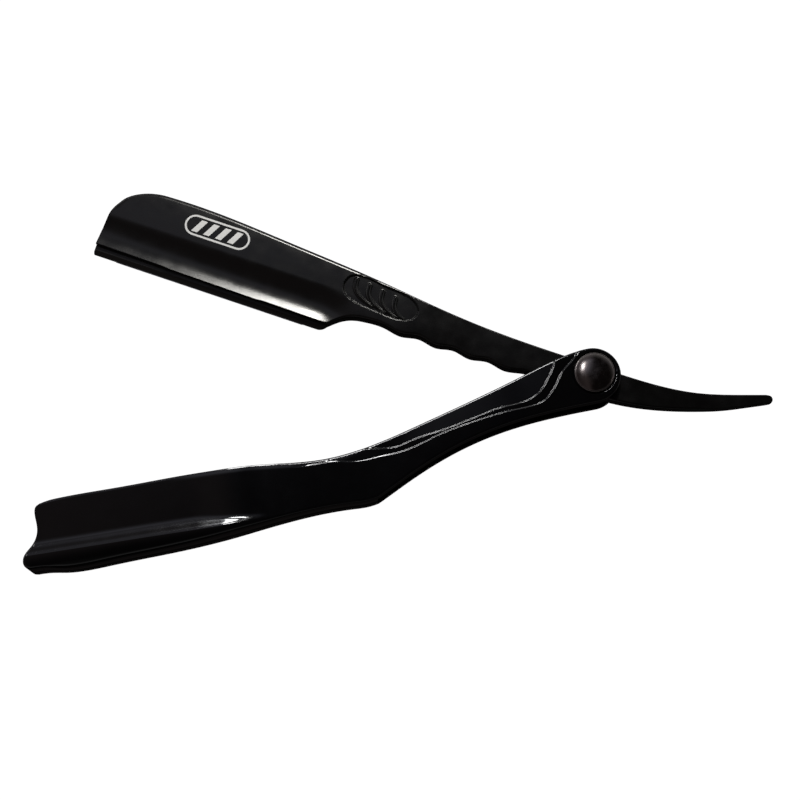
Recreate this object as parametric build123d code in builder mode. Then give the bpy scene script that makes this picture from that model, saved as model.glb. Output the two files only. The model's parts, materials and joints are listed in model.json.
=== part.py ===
from build123d import *
from math import cos, radians, sin
import os

# A folding barber's razor with a replaceable blade. Millimetres. The origin is on the pivot axis at the
# plane that the razor lies on; +X points away from the handle, +Y towards the opened arm, +Z up.
os.makedirs("parts", exist_ok=True)

# Thickness stack
total_thickness = 11.8
middle = total_thickness / 2
slot_width = 4.8
cheek_thickness = 2.2
slot_top = middle + slot_width / 2
cheek_top = slot_top + cheek_thickness

# Handle
pivot_end_radius = 5.9
pivot_end_centre = (-0.3, -0.4)
web_start = -50.5
web_thickness = 2.0
scale_end = -127.0
panel_step = 0.2
ridge_y = -16.9
ridge_rise = 0.6
stop_post_place = (-47.5, -8.1)
stop_post_radius = 1.3
scale_pin_radius = 0.5
scale_pin_length = 3.2
scale_pin_places = [(-58.0, -16.75), (-90.0, -18.4), (-118.0, -18.4)]

# Pivot
head_radius = 4.3
head_seat_depth = 0.5
head_flat_radius = 2.4
head_rim_radius = 4.08
barrel_radius = 2.2
barrel_bore_radius = 1.45
pin_radius = 1.4
running_gap = 0.05
washer_radius = 4.6
washer_thickness = 0.45
spring_washer_sheet = 0.3
washer_gap = 0.08

# Blade arm, in its own frame: origin on the pivot axis, X along the cutting edge, Y towards the spine
rest_angle = -30.0
shank_thickness = 3.6
head_thickness = 4.2
eye_radius = 4.9
tail_tip_thickness = 2.0
toe_x = -111.4
heel_x = -58.0
ridge_toe_y = -7.2
ridge_heel_y = -7.85
ridge_thickness = 3.9
hollow_half = 1.58
crease_y = 0.3
scallop_pitch = 7.8
scallop_crest_y = -4.65
scallop_notch_y = -4.0
first_crest_x = -42.1
scallop_count = 4
thumb_rest_depth = 0.6
rib_count = 4
rib_pitch = 3.1
rib_width = 0.8

# Blade carrier and blade
carrier_gap = 0.1
carrier_thickness = 1.3
carrier_fold_radius = 0.95
carrier_fold_y = 2.7
carrier_heel_x = -57.7
carrier_corner_radius = 2.2
carrier_edge_y = -9.3
lip_edge_thickness = 0.7
leaf_gap = 0.12
blade_length = 43.0
blade_height = 11.0
blade_thickness = 0.1
blade_exposure = 0.15
blade_notch_radius = 1.5
blade_notch_spread = 27.0
spring_length = 14.0
spring_width = 4.0
spring_sheet = 0.25
spring_pocket_depth = 0.4
spring_pocket_gap = 0.2
spring_centre = (-68.9, -2.0)

# Frames of the arm
arm_x = Vector(cos(radians(rest_angle)), sin(radians(rest_angle)), 0)
arm_y = Vector(-sin(radians(rest_angle)), cos(radians(rest_angle)), 0)
arm_flat = Plane(origin=(0, 0, 0), x_dir=arm_x, z_dir=(0, 0, 1))
arm_side = Plane(origin=(0, 0, 0), x_dir=arm_x, z_dir=-arm_y)


def arm_section(x):
    """Plane across the arm at x, with Y of the arm to the right and Z up."""
    return Plane(origin=arm_x * x, x_dir=arm_y, z_dir=arm_x)


# ---------------------------------------------------------------- handle


def handle_outline():
    """Outline of a scale: round pivot end, slim neck, deep sheath and fishtail end."""
    centre_x, centre_y = pivot_end_centre
    top = [(-3.0, 5.4), (-16.5, 2.0), (-38.5, -3.8), (-51.0, -6.6), (-59.0, -7.38), (-71.0, -6.42)]
    top += [(-76.0, -5.85), (-82.0, -5.53), (-90.0, -5.25), (-104.0, -5.12), (-116.9, -4.97)]
    top += [(-119.2, -5.15), (-120.6, -5.47)]
    end = [(-120.6, -5.47), (-121.5, -6.0), (-121.9, -7.2), (-121.85, -9.5), (-122.15, -11.6)]
    end += [(-123.6, -13.75), (-125.25, -15.35), (-126.0, -16.9), (-125.95, -17.7), (-125.4, -18.4)]
    end += [(-124.4, -18.75)]
    foot = [(-124.4, -18.75), (-121.6, -19.05), (-118.5, -19.6), (-114.0, -20.02), (-108.0, -19.9)]
    foot += [(-103.0, -19.8), (-91.0, -19.57), (-78.0, -18.63), (-69.0, -17.83), (-62.0, -17.56)]
    foot += [(-56.0, -17.75), (-52.0, -17.85), (-50.3, -17.6)]
    bottom = [(-50.3, -17.6), (-43.0, -14.2), (-31.8, -9.9), (-20.7, -7.4), (centre_x, -6.3)]
    with BuildLine() as outline:
        upper = Spline(top)
        Spline(end)
        Spline(foot)
        lower = Spline(bottom, tangents=[(8, 3.6), (1, 0)])
        right = (centre_x + pivot_end_radius, centre_y)
        ThreePointArc(lower @ 1, right, upper @ 0)
    return make_face(outline.line)


def scale_envelope():
    """Outer skin of the front scale: flat cheeks, a full sheath with a soft ridge low on its face."""
    with BuildPart() as envelope:
        with BuildSketch(Plane.YZ.offset(scale_end - 1)):
            with BuildLine():
                flat = Line((8.0, total_thickness - ridge_rise), (-13.6, total_thickness - ridge_rise))
                crest = (ridge_y, total_thickness)
                flank = Spline([flat @ 1, (-15.5, 11.45), crest], tangents=[(-1, 0), (-1, 0)])
                low = Spline([crest, (-19.2, 10.9), (-20.1, 9.6)], tangents=[(-1, 0), (-0.5, -1)])
                Polyline(low @ 1, (-20.1, middle - 1), (8.0, middle - 1), flat @ 0)
            make_face()
        extrude(amount=-scale_end + 20)
        with BuildSketch(Plane.XZ.offset(-20)):
            with BuildLine():
                neck = Line((20, cheek_top), (-46.0, cheek_top))
                sheath = (-78.0, total_thickness)
                Spline([neck @ 1, (-62.0, 11.3), sheath], tangents=[(-1, 0), (-1, 0)])
                Polyline(sheath, (scale_end - 2, total_thickness), (scale_end - 2, 0), (20, 0), neck @ 0)
            make_face()
        extrude(amount=50, mode=Mode.INTERSECT)
    return envelope.part


def web_region():
    """Plan of the closed back of the sheath."""
    inner = -17.8 + web_thickness
    with BuildSketch() as region:
        with BuildLine():
            Polyline(
                (web_start, inner),
                (-67.0, inner),
                (-84.0, inner - 1.4),
                (scale_end - 1, inner - 1.4),
                (scale_end - 1, -21),
                (web_start, -21),
                close=True,
            )
        make_face()
    return region.sketch


def panel_region(line):
    """Plan of one step of the panel in the neck: everything above its line, past the top of the neck."""
    with BuildSketch() as region:
        with BuildLine():
            Spline(line)
            Polyline(line[-1], (line[-1][0], 9.0), (line[0][0], 9.0), line[0])
        make_face()
    return region.sketch


panel_outer = [(-63.0, -6.2), (-60.6, -8.1), (-57.3, -8.45), (-54.0, -9.15), (-48.2, -9.1), (-44.0, -8.95)]
panel_outer += [(-35.4, -6.95), (-25.9, -5.3), (-14.6, -4.5), (-10.2, -2.7), (-5.1, 2.8), (-1.5, 6.5)]
panel_inner = [(-57.5, -6.0), (-51.1, -6.9), (-45.0, -7.7), (-35.2, -6.1), (-25.8, -4.4), (-13.9, -2.7)]
panel_inner += [(-9.9, 0.8), (-8.0, 3.8), (-7.4, 6.5)]
outline_face = handle_outline()

with BuildPart() as handle_front_scale:
    with BuildSketch(Plane.XY.offset(middle)):
        add(outline_face)
    extrude(amount=total_thickness)
    with BuildSketch(Plane.XY.offset(middle)):
        add(outline_face)
        add(web_region(), mode=Mode.SUBTRACT)
    extrude(amount=slot_width / 2, mode=Mode.SUBTRACT)
    add(scale_envelope(), mode=Mode.INTERSECT)
    for step, line in enumerate((panel_outer, panel_inner), 1):
        with BuildSketch(Plane.XY.offset(cheek_top - step * panel_step)):
            add(panel_region(line))
        extrude(amount=total_thickness, mode=Mode.SUBTRACT)
    with BuildSketch(Plane.XY.offset(cheek_top - head_seat_depth)):
        Circle(head_radius + 0.1)
    extrude(amount=head_seat_depth * 3, mode=Mode.SUBTRACT)
    with BuildSketch(Plane.XY.offset(slot_top)):
        Circle(barrel_radius)
    extrude(amount=cheek_thickness, mode=Mode.SUBTRACT)
    with BuildSketch(Plane.XY.offset(middle)):
        with Locations(*scale_pin_places):
            Circle(scale_pin_radius)
    extrude(amount=scale_pin_length / 2, mode=Mode.SUBTRACT)
handle_front_scale.part.label = "handle_front_scale"
export_step(handle_front_scale.part, "parts/handle_front_scale.step")

with BuildPart() as handle_back_scale:
    add(mirror(handle_front_scale.part, about=Plane.XY.offset(middle)))
    with BuildSketch(Plane.XY.offset(middle - slot_width / 2)):
        with Locations(stop_post_place):
            Circle(stop_post_radius)
    extrude(amount=slot_width)
handle_back_scale.part.label = "handle_back_scale"
export_step(handle_back_scale.part, "parts/handle_back_scale.step")

with BuildPart() as scale_pins:
    with BuildSketch(Plane.XY.offset(middle - scale_pin_length / 2)):
        with Locations(*scale_pin_places):
            Circle(scale_pin_radius)
    extrude(amount=scale_pin_length)
scale_pins.part.label = "scale_pins"
export_step(scale_pins.part, "parts/scale_pins.step")

# ---------------------------------------------------------------- pivot

front_seat = cheek_top - head_seat_depth
back_seat = total_thickness - front_seat

with BuildPart() as pivot_rivet_front:
    with BuildSketch(Plane.XZ):
        with BuildLine():
            Line((0, back_seat + 1), (pin_radius, back_seat + 1))
            Line((pin_radius, back_seat + 1), (pin_radius, front_seat))
            Line((pin_radius, front_seat), (head_radius, front_seat))
            Line((head_radius, front_seat), (head_radius, front_seat + 0.85))
            Line((head_radius, front_seat + 0.85), (head_rim_radius, front_seat + 1.1))
            Spline(
                [(head_rim_radius, front_seat + 1.1), (3.0, front_seat + 1.53), (0, total_thickness)],
                tangents=[(-1, 0.45), (-1, 0)],
            )
            Line((0, total_thickness), (0, back_seat + 1))
        make_face()
    revolve(axis=Axis.Z)
pivot_rivet_front.part.label = "pivot_rivet_front"
export_step(pivot_rivet_front.part, "parts/pivot_rivet_front.step")

with BuildPart() as pivot_rivet_back:
    with BuildSketch(Plane.XZ):
        with BuildLine():
            Polyline(
                (0, 0),
                (head_flat_radius, 0),
                (3.6, back_seat - 1.3),
                (head_radius, back_seat - 0.5),
                (head_radius, back_seat),
                (barrel_radius, back_seat),
                (barrel_radius, front_seat - 0.1),
                (barrel_bore_radius, front_seat - 0.1),
                (barrel_bore_radius, back_seat + 0.6),
                (0, back_seat + 0.6),
                close=True,
            )
        make_face()
    revolve(axis=Axis.Z)
pivot_rivet_back.part.label = "pivot_rivet_back"
export_step(pivot_rivet_back.part, "parts/pivot_rivet_back.step")

with BuildPart() as pivot_washer:
    with BuildSketch(Plane.XY.offset(slot_top - washer_gap - washer_thickness)):
        Circle(washer_radius)
        Circle(barrel_radius + running_gap, mode=Mode.SUBTRACT)
    extrude(amount=washer_thickness)
pivot_washer.part.label = "pivot_washer"
export_step(pivot_washer.part, "parts/pivot_washer.step")

with BuildPart() as pivot_spring_washer:
    washer_base = middle - slot_width / 2
    washer_crown = middle - shank_thickness / 2 - washer_gap
    with BuildSketch(Plane.XZ):
        with BuildLine():
            Polyline(
                (barrel_radius + running_gap, washer_base),
                (barrel_radius + running_gap, washer_base + spring_washer_sheet),
                (washer_radius, washer_crown),
                (washer_radius, washer_crown - spring_washer_sheet),
                close=True,
            )
        make_face()
    revolve(axis=Axis.Z)
pivot_spring_washer.part.label = "pivot_spring_washer"
export_step(pivot_spring_washer.part, "parts/pivot_spring_washer.step")

# ---------------------------------------------------------------- blade arm


def arm_outline():
    """Outline of the arm above its ridge: toe, spine, tail, scalloped shank and heel."""
    scallops = []
    for step in range(scallop_count):
        crest_x = first_crest_x + step * scallop_pitch
        scallops.append((crest_x, scallop_crest_y))
        scallops.append((crest_x + 0.5 * scallop_pitch, scallop_notch_y))
    with BuildLine() as outline:
        toe = Line((toe_x, ridge_toe_y), (-111.1, -0.6))
        nose = Spline([toe @ 1, (-110.2, 2.6), (-107.0, 6.2), (-100.5, 8.05)], tangents=[(0, 1), (1, 0.04)])
        spine = Spline(
            [nose @ 1, (-88.0, 8.0), (-71.0, 6.8), (-54.0, 5.4), (-36.7, 3.4), (-20.0, 2.3), (0.0, 2.2)],
            tangents=[(1, 0.04), (1, 0)],
        )
        tail_rise = [(11.7, 2.4), (22.1, 3.7), (31.9, 6.7), (36.8, 8.4)]
        tail = Spline([spine @ 1] + tail_rise, tangents=[(1, 0), (1, 0.3)])
        tip = Spline([tail @ 1, (38.4, 7.9), (37.2, 6.7)])
        under = Spline([tip @ 1, (30.1, 2.9), (20.4, -0.8), (10.3, -3.3), (0.0, -4.2)])
        grip = Spline([under @ 1, (-10.0, -3.9)] + scallops[::-1] + [(-46.0, -4.05), (-51.5, -4.25)])
        heel = Spline([grip @ 1, (-54.9, -5.4), (heel_x, ridge_heel_y)])
        Line(heel @ 1, toe @ 0)
    return make_face(outline.line)


def head_envelope():
    """Section of the head: round spine, flat face down to a crease, hollow below it to the ridge."""
    half = head_thickness / 2
    ridge = ridge_thickness / 2
    with BuildPart() as envelope:
        with BuildSketch(arm_section(toe_x - 1)):
            with BuildLine():
                Spline([(9.0, middle), (8.05, middle + half * 0.72), (6.6, middle + half)])
                Line((6.6, middle + half), (crease_y, middle + half))
                Spline(
                    [
                        (crease_y, middle + half),
                        (-4.6, middle + hollow_half),
                        (ridge_heel_y, middle + ridge),
                    ],
                    tangents=[(-1, -0.1), (-1, 0.22)],
                )
                Polyline((ridge_heel_y, middle + ridge), (ridge_heel_y, middle), (9.0, middle))
            make_face()
            mirror(about=Plane.XZ.offset(-middle))
        extrude(amount=heel_x - toe_x + 1)
    return envelope.part


def shank_envelope():
    """Side view of the shank: full thickness at the thumb rest, thinner at the eye, slim at the tail."""
    half = head_thickness / 2
    eye_half = shank_thickness / 2
    tip_half = tail_tip_thickness / 2
    with BuildPart() as envelope:
        with BuildSketch(arm_side.offset(-15)):
            with BuildLine():
                Line((heel_x, middle + half), (-42.0, middle + half))
                Spline(
                    [(-42.0, middle + half), (-24.0, middle + eye_half)],
                    tangents=[(1, 0), (1, 0)],
                )
                Line((-24.0, middle + eye_half), (8.0, middle + eye_half))
                Line((8.0, middle + eye_half), (40.0, middle + tip_half))
                Line((40.0, middle + tip_half), (40.0, middle))
                Line((40.0, middle), (heel_x, middle))
                Line((heel_x, middle), (heel_x, middle + half))
            make_face()
            mirror(about=Plane.XZ.offset(-middle))
        extrude(amount=30)
    return envelope.part


def thumb_rest_region():
    """Plan of the thumb rest's pocket."""
    with BuildSketch() as region:
        with BuildLine():
            Spline(
                [
                    (-57.4, 1.9),
                    (-56.0, 4.5),
                    (-48.0, 4.1),
                    (-41.6, 3.0),
                    (-40.0, 0.6),
                    (-42.6, -1.9),
                    (-49.0, -1.9),
                    (-55.4, -0.7),
                ],
                periodic=True,
            )
        make_face()
    return region.sketch


def rib_region(index):
    """Plan of one hooked rib of the thumb rest."""
    shift_x = index * rib_pitch
    shift_y = index * -0.43
    path = [(-55.0, 3.8), (-54.7, 1.9), (-53.4, 0.5), (-51.4, -0.6)]
    with BuildSketch() as region:
        with BuildLine():
            Spline([(x + shift_x, y + shift_y) for x, y in path])
        trace(line_width=rib_width)
    return region.sketch


arm_face = arm_outline()
head_face_top = middle + head_thickness / 2
slot_half = carrier_thickness / 2 + carrier_gap

with BuildPart() as blade_arm:
    with BuildSketch(arm_flat):
        add(arm_face)
        Circle(eye_radius)
    extrude(amount=total_thickness)
    add(head_envelope() + shank_envelope(), mode=Mode.INTERSECT)
    # Slot for the carrier, open at the toe and below, with a round channel that keeps the carrier in
    with BuildSketch(arm_section(toe_x - 1)):
        with Locations((carrier_fold_y, middle)):
            Circle(carrier_fold_radius + carrier_gap)
            Rectangle(14, 2 * slot_half, align=(Align.MAX, Align.CENTER))
    extrude(amount=carrier_heel_x + 0.3 - toe_x + 1, mode=Mode.SUBTRACT)
    # Shallow pocket for the friction leaf in the back wall of the slot
    with BuildSketch(arm_flat.offset(middle - slot_half - spring_pocket_depth)):
        with Locations(spring_centre):
            Rectangle(spring_length + 2 * spring_pocket_gap, spring_width + 2 * spring_pocket_gap)
    extrude(amount=spring_pocket_depth, mode=Mode.SUBTRACT)
    # Thumb rests, front and back, with their ribs left standing
    for floor in (head_face_top - thumb_rest_depth, middle - head_thickness / 2 - thumb_rest_depth):
        with BuildSketch(arm_flat.offset(floor)):
            add(thumb_rest_region())
            for index in range(rib_count):
                add(rib_region(index), mode=Mode.SUBTRACT)
        extrude(amount=2 * thumb_rest_depth, mode=Mode.SUBTRACT)
    with BuildSketch(arm_flat):
        Circle(barrel_radius + running_gap)
    extrude(amount=total_thickness, mode=Mode.SUBTRACT)
blade_arm.part.label = "blade_arm"
export_step(blade_arm.part, "parts/blade_arm.step")

with BuildPart() as carrier_spring:
    spring_floor = middle - slot_half - spring_pocket_depth
    with BuildSketch(arm_side.offset(-spring_width / 2 - spring_centre[1])):
        with BuildLine():
            start = spring_centre[0] - spring_length / 2
            crown = spring_pocket_depth - spring_sheet
            lower = ThreePointArc(
                (start, spring_floor),
                (start + spring_length / 2, spring_floor + crown),
                (start + spring_length, spring_floor),
            )
            upper = ThreePointArc(
                (start, spring_floor + spring_sheet),
                (start + spring_length / 2, spring_floor + crown + spring_sheet),
                (start + spring_length, spring_floor + spring_sheet),
            )
            Line(lower @ 0, upper @ 0)
            Line(lower @ 1, upper @ 1)
        make_face()
    extrude(amount=spring_width)
carrier_spring.part.label = "carrier_spring"
export_step(carrier_spring.part, "parts/carrier_spring.step")

# ---------------------------------------------------------------- carrier and blade

carrier_length = carrier_heel_x - toe_x

with BuildPart() as blade_carrier:
    half = carrier_thickness / 2
    lip_half = lip_edge_thickness / 2
    with BuildSketch(arm_section(toe_x)):
        with Locations((carrier_fold_y, middle)):
            Circle(carrier_fold_radius)
        with BuildLine():
            Polyline(
                (carrier_fold_y, middle + half),
                (-8.2, middle + half),
                (carrier_edge_y, middle + lip_half),
                (carrier_edge_y, middle - lip_half),
                (-8.2, middle - half),
                (carrier_fold_y, middle - half),
                close=True,
            )
        make_face()
        with Locations((carrier_fold_y - 0.4, middle)):
            Rectangle(20, leaf_gap, align=(Align.MAX, Align.CENTER), mode=Mode.SUBTRACT)
    extrude(amount=carrier_length)
    # The toe follows the nose of the arm, and the lip's heel corner is rounded
    with BuildSketch(arm_flat):
        with BuildLine():
            toe = Line((toe_x, -8.6), (-111.2, -0.6))
            nose = Spline([toe @ 1, (-110.3, 2.4), (-108.6, 4.4)])
            corner_top = (carrier_heel_x, carrier_edge_y + carrier_corner_radius)
            corner_foot = (carrier_heel_x - carrier_corner_radius, carrier_edge_y)
            Polyline(nose @ 1, (carrier_heel_x, 4.4), corner_top)
            RadiusArc(corner_top, corner_foot, carrier_corner_radius)
            Line(corner_foot, (-110.9, carrier_edge_y))
            Spline([(-110.9, carrier_edge_y), toe @ 0], tangents=[(-1, 0), (0, 1)])
        make_face()
    extrude(amount=total_thickness, mode=Mode.INTERSECT)
    # Holes of the two pins that locate the blade
    with BuildSketch(arm_flat.offset(middle - half)):
        with Locations((toe_x + carrier_length / 2, carrier_edge_y - blade_exposure + blade_height)):
            with GridLocations(blade_notch_spread, 1, 2, 1):
                Circle(blade_notch_radius - 0.1)
    extrude(amount=carrier_thickness, mode=Mode.SUBTRACT)
blade_carrier.part.label = "blade_carrier"
export_step(blade_carrier.part, "parts/blade_carrier.step")

blade_top_y = carrier_edge_y - blade_exposure + blade_height
blade_centre_x = toe_x + carrier_length / 2

with BuildPart() as blade_pins:
    with BuildSketch(arm_flat.offset(middle - carrier_thickness / 2)):
        with Locations((blade_centre_x, blade_top_y)):
            with GridLocations(blade_notch_spread, 1, 2, 1):
                Circle(blade_notch_radius - 0.1)
    extrude(amount=carrier_thickness)
blade_pins.part.label = "blade_pins"
export_step(blade_pins.part, "parts/blade_pins.step")

with BuildPart() as razor_blade:
    with BuildSketch(arm_flat.offset(middle - blade_thickness / 2)):
        with Locations((blade_centre_x, blade_top_y - blade_height / 2)):
            Rectangle(blade_length, blade_height)
        with Locations((blade_centre_x, blade_top_y)):
            with GridLocations(blade_notch_spread, 1, 2, 1):
                Circle(blade_notch_radius, mode=Mode.SUBTRACT)
            Rectangle(blade_notch_spread, 1.0, mode=Mode.SUBTRACT)
    extrude(amount=blade_thickness)
razor_blade.part.label = "razor_blade"
export_step(razor_blade.part, "parts/razor_blade.step")
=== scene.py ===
import json
import bpy
import bmesh
import numpy as np
from math import cos, pi, radians, sin
from mathutils import Matrix, Vector, kdtree


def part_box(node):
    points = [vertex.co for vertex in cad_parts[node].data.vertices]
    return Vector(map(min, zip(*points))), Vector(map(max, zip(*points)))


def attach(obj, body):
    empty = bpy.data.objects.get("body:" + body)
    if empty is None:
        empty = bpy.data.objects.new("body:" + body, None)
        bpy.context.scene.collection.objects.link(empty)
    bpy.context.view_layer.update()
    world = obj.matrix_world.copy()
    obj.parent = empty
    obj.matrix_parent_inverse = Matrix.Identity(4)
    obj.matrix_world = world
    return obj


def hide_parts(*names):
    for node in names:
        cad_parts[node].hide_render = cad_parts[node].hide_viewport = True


# Looks of the folding barber's razor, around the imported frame. Shapes are worked out in millimetres:
# the handle's in the frame's own X and Y, the arm's in X along the cutting edge and Y to the spine.
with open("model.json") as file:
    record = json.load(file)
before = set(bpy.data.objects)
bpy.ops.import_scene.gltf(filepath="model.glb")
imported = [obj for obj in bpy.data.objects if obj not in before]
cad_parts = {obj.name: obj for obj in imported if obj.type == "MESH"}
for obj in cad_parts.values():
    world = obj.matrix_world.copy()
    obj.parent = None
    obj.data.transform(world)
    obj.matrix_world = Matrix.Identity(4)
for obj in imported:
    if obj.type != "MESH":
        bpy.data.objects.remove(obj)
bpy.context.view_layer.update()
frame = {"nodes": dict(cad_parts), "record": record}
MM = 0.001


def box_mm(node):
    """Lowest and highest corner of a CAD node in millimetres."""
    return [np.array(corner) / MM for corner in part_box(node)]


# ---------------------------------------------------------------- places from the frame

joints = {joint["name"]: joint for joint in frame["record"]["behaviour"]["joints"]}
slide_axis = joints["carrier_slide"]["axis"]
rest_angle = np.arctan2(-slide_axis[1], -slide_axis[0])
front_high = box_mm("handle_front_scale")[1]
back_low = box_mm("handle_back_scale")[0]
arm_low, arm_high = box_mm("blade_arm")
carrier_low, carrier_high = box_mm("blade_carrier")
middle = (front_high[2] + back_low[2]) / 2
total_thickness = front_high[2] - back_low[2]
head_half = (arm_high[2] - arm_low[2]) / 2
fold_radius = (carrier_high[2] - carrier_low[2]) / 2

# ---------------------------------------------------------------- curves and height functions


def spline(points, start=None, end=None, step=0.1):
    """Cubic curve through the points, smooth to the second derivative, sampled every step millimetres."""
    knots = np.array(points, float)
    count = len(knots)
    gaps = np.linalg.norm(np.diff(knots, axis=0), axis=1)
    matrix = np.zeros((count, count))
    right = np.zeros((count, 2))
    chords = np.diff(knots, axis=0) / gaps[:, None]
    for i in range(1, count - 1):
        matrix[i, i - 1 : i + 2] = gaps[i], 2 * (gaps[i - 1] + gaps[i]), gaps[i - 1]
        right[i] = 3 * (gaps[i] * chords[i - 1] + gaps[i - 1] * chords[i])
    for i, beside, chord, given in ((0, 1, 0, start), (count - 1, count - 2, -1, end)):
        matrix[i, i] = 1
        if given is None:
            matrix[i, beside] = 0.5
            right[i] = 1.5 * chords[chord]
        else:
            right[i] = np.array(given, float) / np.linalg.norm(given)
    slopes = np.linalg.solve(matrix, right)
    pieces = []
    for i in range(count - 1):
        u = np.linspace(0, 1, max(2, int(gaps[i] / step) + 1))[:, None]
        rise = 3 * u**2 - 2 * u**3
        piece = knots[i] * (1 - rise) + knots[i + 1] * rise
        piece = piece + gaps[i] * (slopes[i] * (u**3 - 2 * u**2 + u) + slopes[i + 1] * (u**3 - u**2))
        pieces.append(piece[:-1])
    return np.vstack(pieces + [knots[-1:]])


def arc(centre, radius, first, last, step=0.1):
    """Circular arc from the first to the last angle in degrees."""
    count = max(3, int(abs(last - first) * pi / 180 * radius / step))
    turn = np.radians(np.linspace(first, last, count))
    return np.stack([centre[0] + radius * np.cos(turn), centre[1] + radius * np.sin(turn)], axis=1)


def chain(*runs):
    """One line out of several that follow each other."""
    return np.vstack([run[:-1] for run in runs[:-1]] + [runs[-1]])


def along(line, share):
    """Points of a line at shares of its length."""
    steps = np.concatenate([[0], np.cumsum(np.linalg.norm(np.diff(line, axis=0), axis=1))])
    steps /= steps[-1]
    return np.stack([np.interp(share, steps, line[:, k]) for k in (0, 1)], axis=-1)


def smooth(low, high, value):
    """0 below low, 1 above high, and an S between."""
    u = np.clip((value - low) / (high - low), 0, 1)
    return u * u * (3 - 2 * u)


def distance(line, x, y, closed=False):
    """Distance of each point from a line, and the index of the nearest point of the line."""
    tree = kdtree.KDTree(len(line))
    for index, (px, py) in enumerate(line):
        tree.insert((px, py, 0), index)
    tree.balance()
    flat = np.stack([x.ravel(), y.ravel()], axis=1)
    near = np.array([tree.find((px, py, 0))[1] for px, py in flat], int)
    best = np.full(len(flat), 1e9)
    last = len(line) - 1
    for offset in (-1, 0):
        if closed:
            a, b = line[(near + offset) % (last + 1)], line[(near + offset + 1) % (last + 1)]
        else:
            a, b = line[np.clip(near + offset, 0, last)], line[np.clip(near + offset + 1, 0, last)]
        edge = b - a
        length = np.maximum((edge**2).sum(axis=1), 1e-12)
        share = np.clip(((flat - a) * edge).sum(axis=1) / length, 0, 1)
        best = np.minimum(best, np.linalg.norm(flat - a - edge * share[:, None], axis=1))
    return best.reshape(x.shape), near.reshape(x.shape)


def inside(line, x, y):
    """True for points inside a closed line."""
    result = np.zeros(x.shape, bool)
    for (ax, ay), (bx, by) in zip(line, np.roll(line, -1, axis=0)):
        if ay == by:
            continue
        result ^= ((ay > y) != (by > y)) & (x < (bx - ax) * (y - ay) / (by - ay) + ax)
    return result


def rounding(gap, radius):
    """How far a rounded edge has dropped at a distance from it."""
    reach = np.clip(radius - gap, 0, radius)
    return radius - np.sqrt(np.maximum(radius**2 - reach**2, 0))


# ---------------------------------------------------------------- meshes

CREASE_ANGLE = 40
EDGE_STEPS = [0.0, 0.012, 0.05, 0.11, 0.19, 0.29, 0.41, 0.55, 0.72, 0.95]
BORDER = 3


def strip(lower, upper, left, right, stations, lines):
    """Grid between four border lines, fine along its borders: points by station and line, X and Y."""
    length = np.linalg.norm(lower[-1] - lower[0])
    border = np.array(EDGE_STEPS) / length
    between = stations[(stations > border[-1]) & (stations < 1 - border[-1])]
    shares = np.concatenate([border, between, 1 - border[::-1]])
    low, high = along_x(lower, shares), along_x(upper, shares)
    width = np.linalg.norm(high - low, axis=1)
    grid = []
    for i, share in enumerate(shares):
        edge = np.array(EDGE_STEPS) / max(width[i], 2.4)
        inner = np.linspace(edge[-1], 1 - edge[-1], lines)
        across = np.concatenate([edge[:-1], inner, 1 - edge[:-1][::-1]])
        t = across[:, None]
        ends = along(left, across) * (1 - share) + along(right, across) * share
        left_chord = left[0] * (1 - t) + left[-1] * t
        right_chord = right[0] * (1 - t) + right[-1] * t
        corners = left_chord * (1 - share) + right_chord * share
        grid.append(low[i] * (1 - t) + high[i] * t + ends - corners)
    return np.array(grid)


def along_x(line, shares):
    """Points of a line that runs along X, at shares of its reach in X."""
    order = np.argsort(line[:, 0])
    x = line[0, 0] + (line[-1, 0] - line[0, 0]) * shares
    return np.stack([x, np.interp(x, line[order, 0], line[order, 1])], axis=1)


def around(index):
    """Point numbers once round the border of a grid."""
    return np.concatenate([index[:-1, 0], index[-1, :-1], index[:0:-1, -1], index[0, :0:-1]])


def slab(name, grid, top, bottom, turn=0.0, plain=False):
    """Closed mesh with a top and a bottom over one grid, turned about the pivot, heights in millimetres.

    A plain bottom is one flat face inside a narrow border."""
    rows, columns = grid.shape[:2]
    x, y = grid[..., 0], grid[..., 1]
    across, up = x * cos(turn) - y * sin(turn), x * sin(turn) + y * cos(turn)
    layers = [np.stack([across, up, height], axis=-1).reshape(-1, 3) for height in (top, bottom)]
    index = np.arange(rows * columns).reshape(rows, columns)
    quads = np.stack([index[:-1, :-1], index[1:, :-1], index[1:, 1:], index[:-1, 1:]], axis=-1)
    quads = quads.reshape(-1, 4)
    rim = around(index)
    count = rows * columns
    # A ring half way down the wall keeps the wall's shading flat
    waist = (layers[0][rim] + layers[1][rim]) / 2
    ring = 2 * count + np.arange(len(rim))
    walls = [
        np.stack([np.roll(rim, -1), rim, ring, np.roll(ring, -1)], axis=-1),
        np.stack([np.roll(ring, -1), ring, rim + count, np.roll(rim, -1) + count], axis=-1),
    ]
    under = quads[:, ::-1] + count
    flat = []
    if plain:
        cells = np.ones((rows - 1, columns - 1), bool)
        cells[BORDER:-BORDER, BORDER:-BORDER] = False
        under = under[cells.reshape(-1)]
        inner = index[BORDER:-BORDER, BORDER:-BORDER] + count
        flat = [around(inner).tolist()]
    faces = np.vstack([quads, under] + walls).tolist() + flat
    points = np.vstack(layers + [waist])
    used = np.unique(np.concatenate([np.array(face) for face in faces]))
    place = np.zeros(len(points), int)
    place[used] = np.arange(len(used))
    return mesh_object(name, points[used] * MM, [place[face].tolist() for face in faces])


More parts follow.
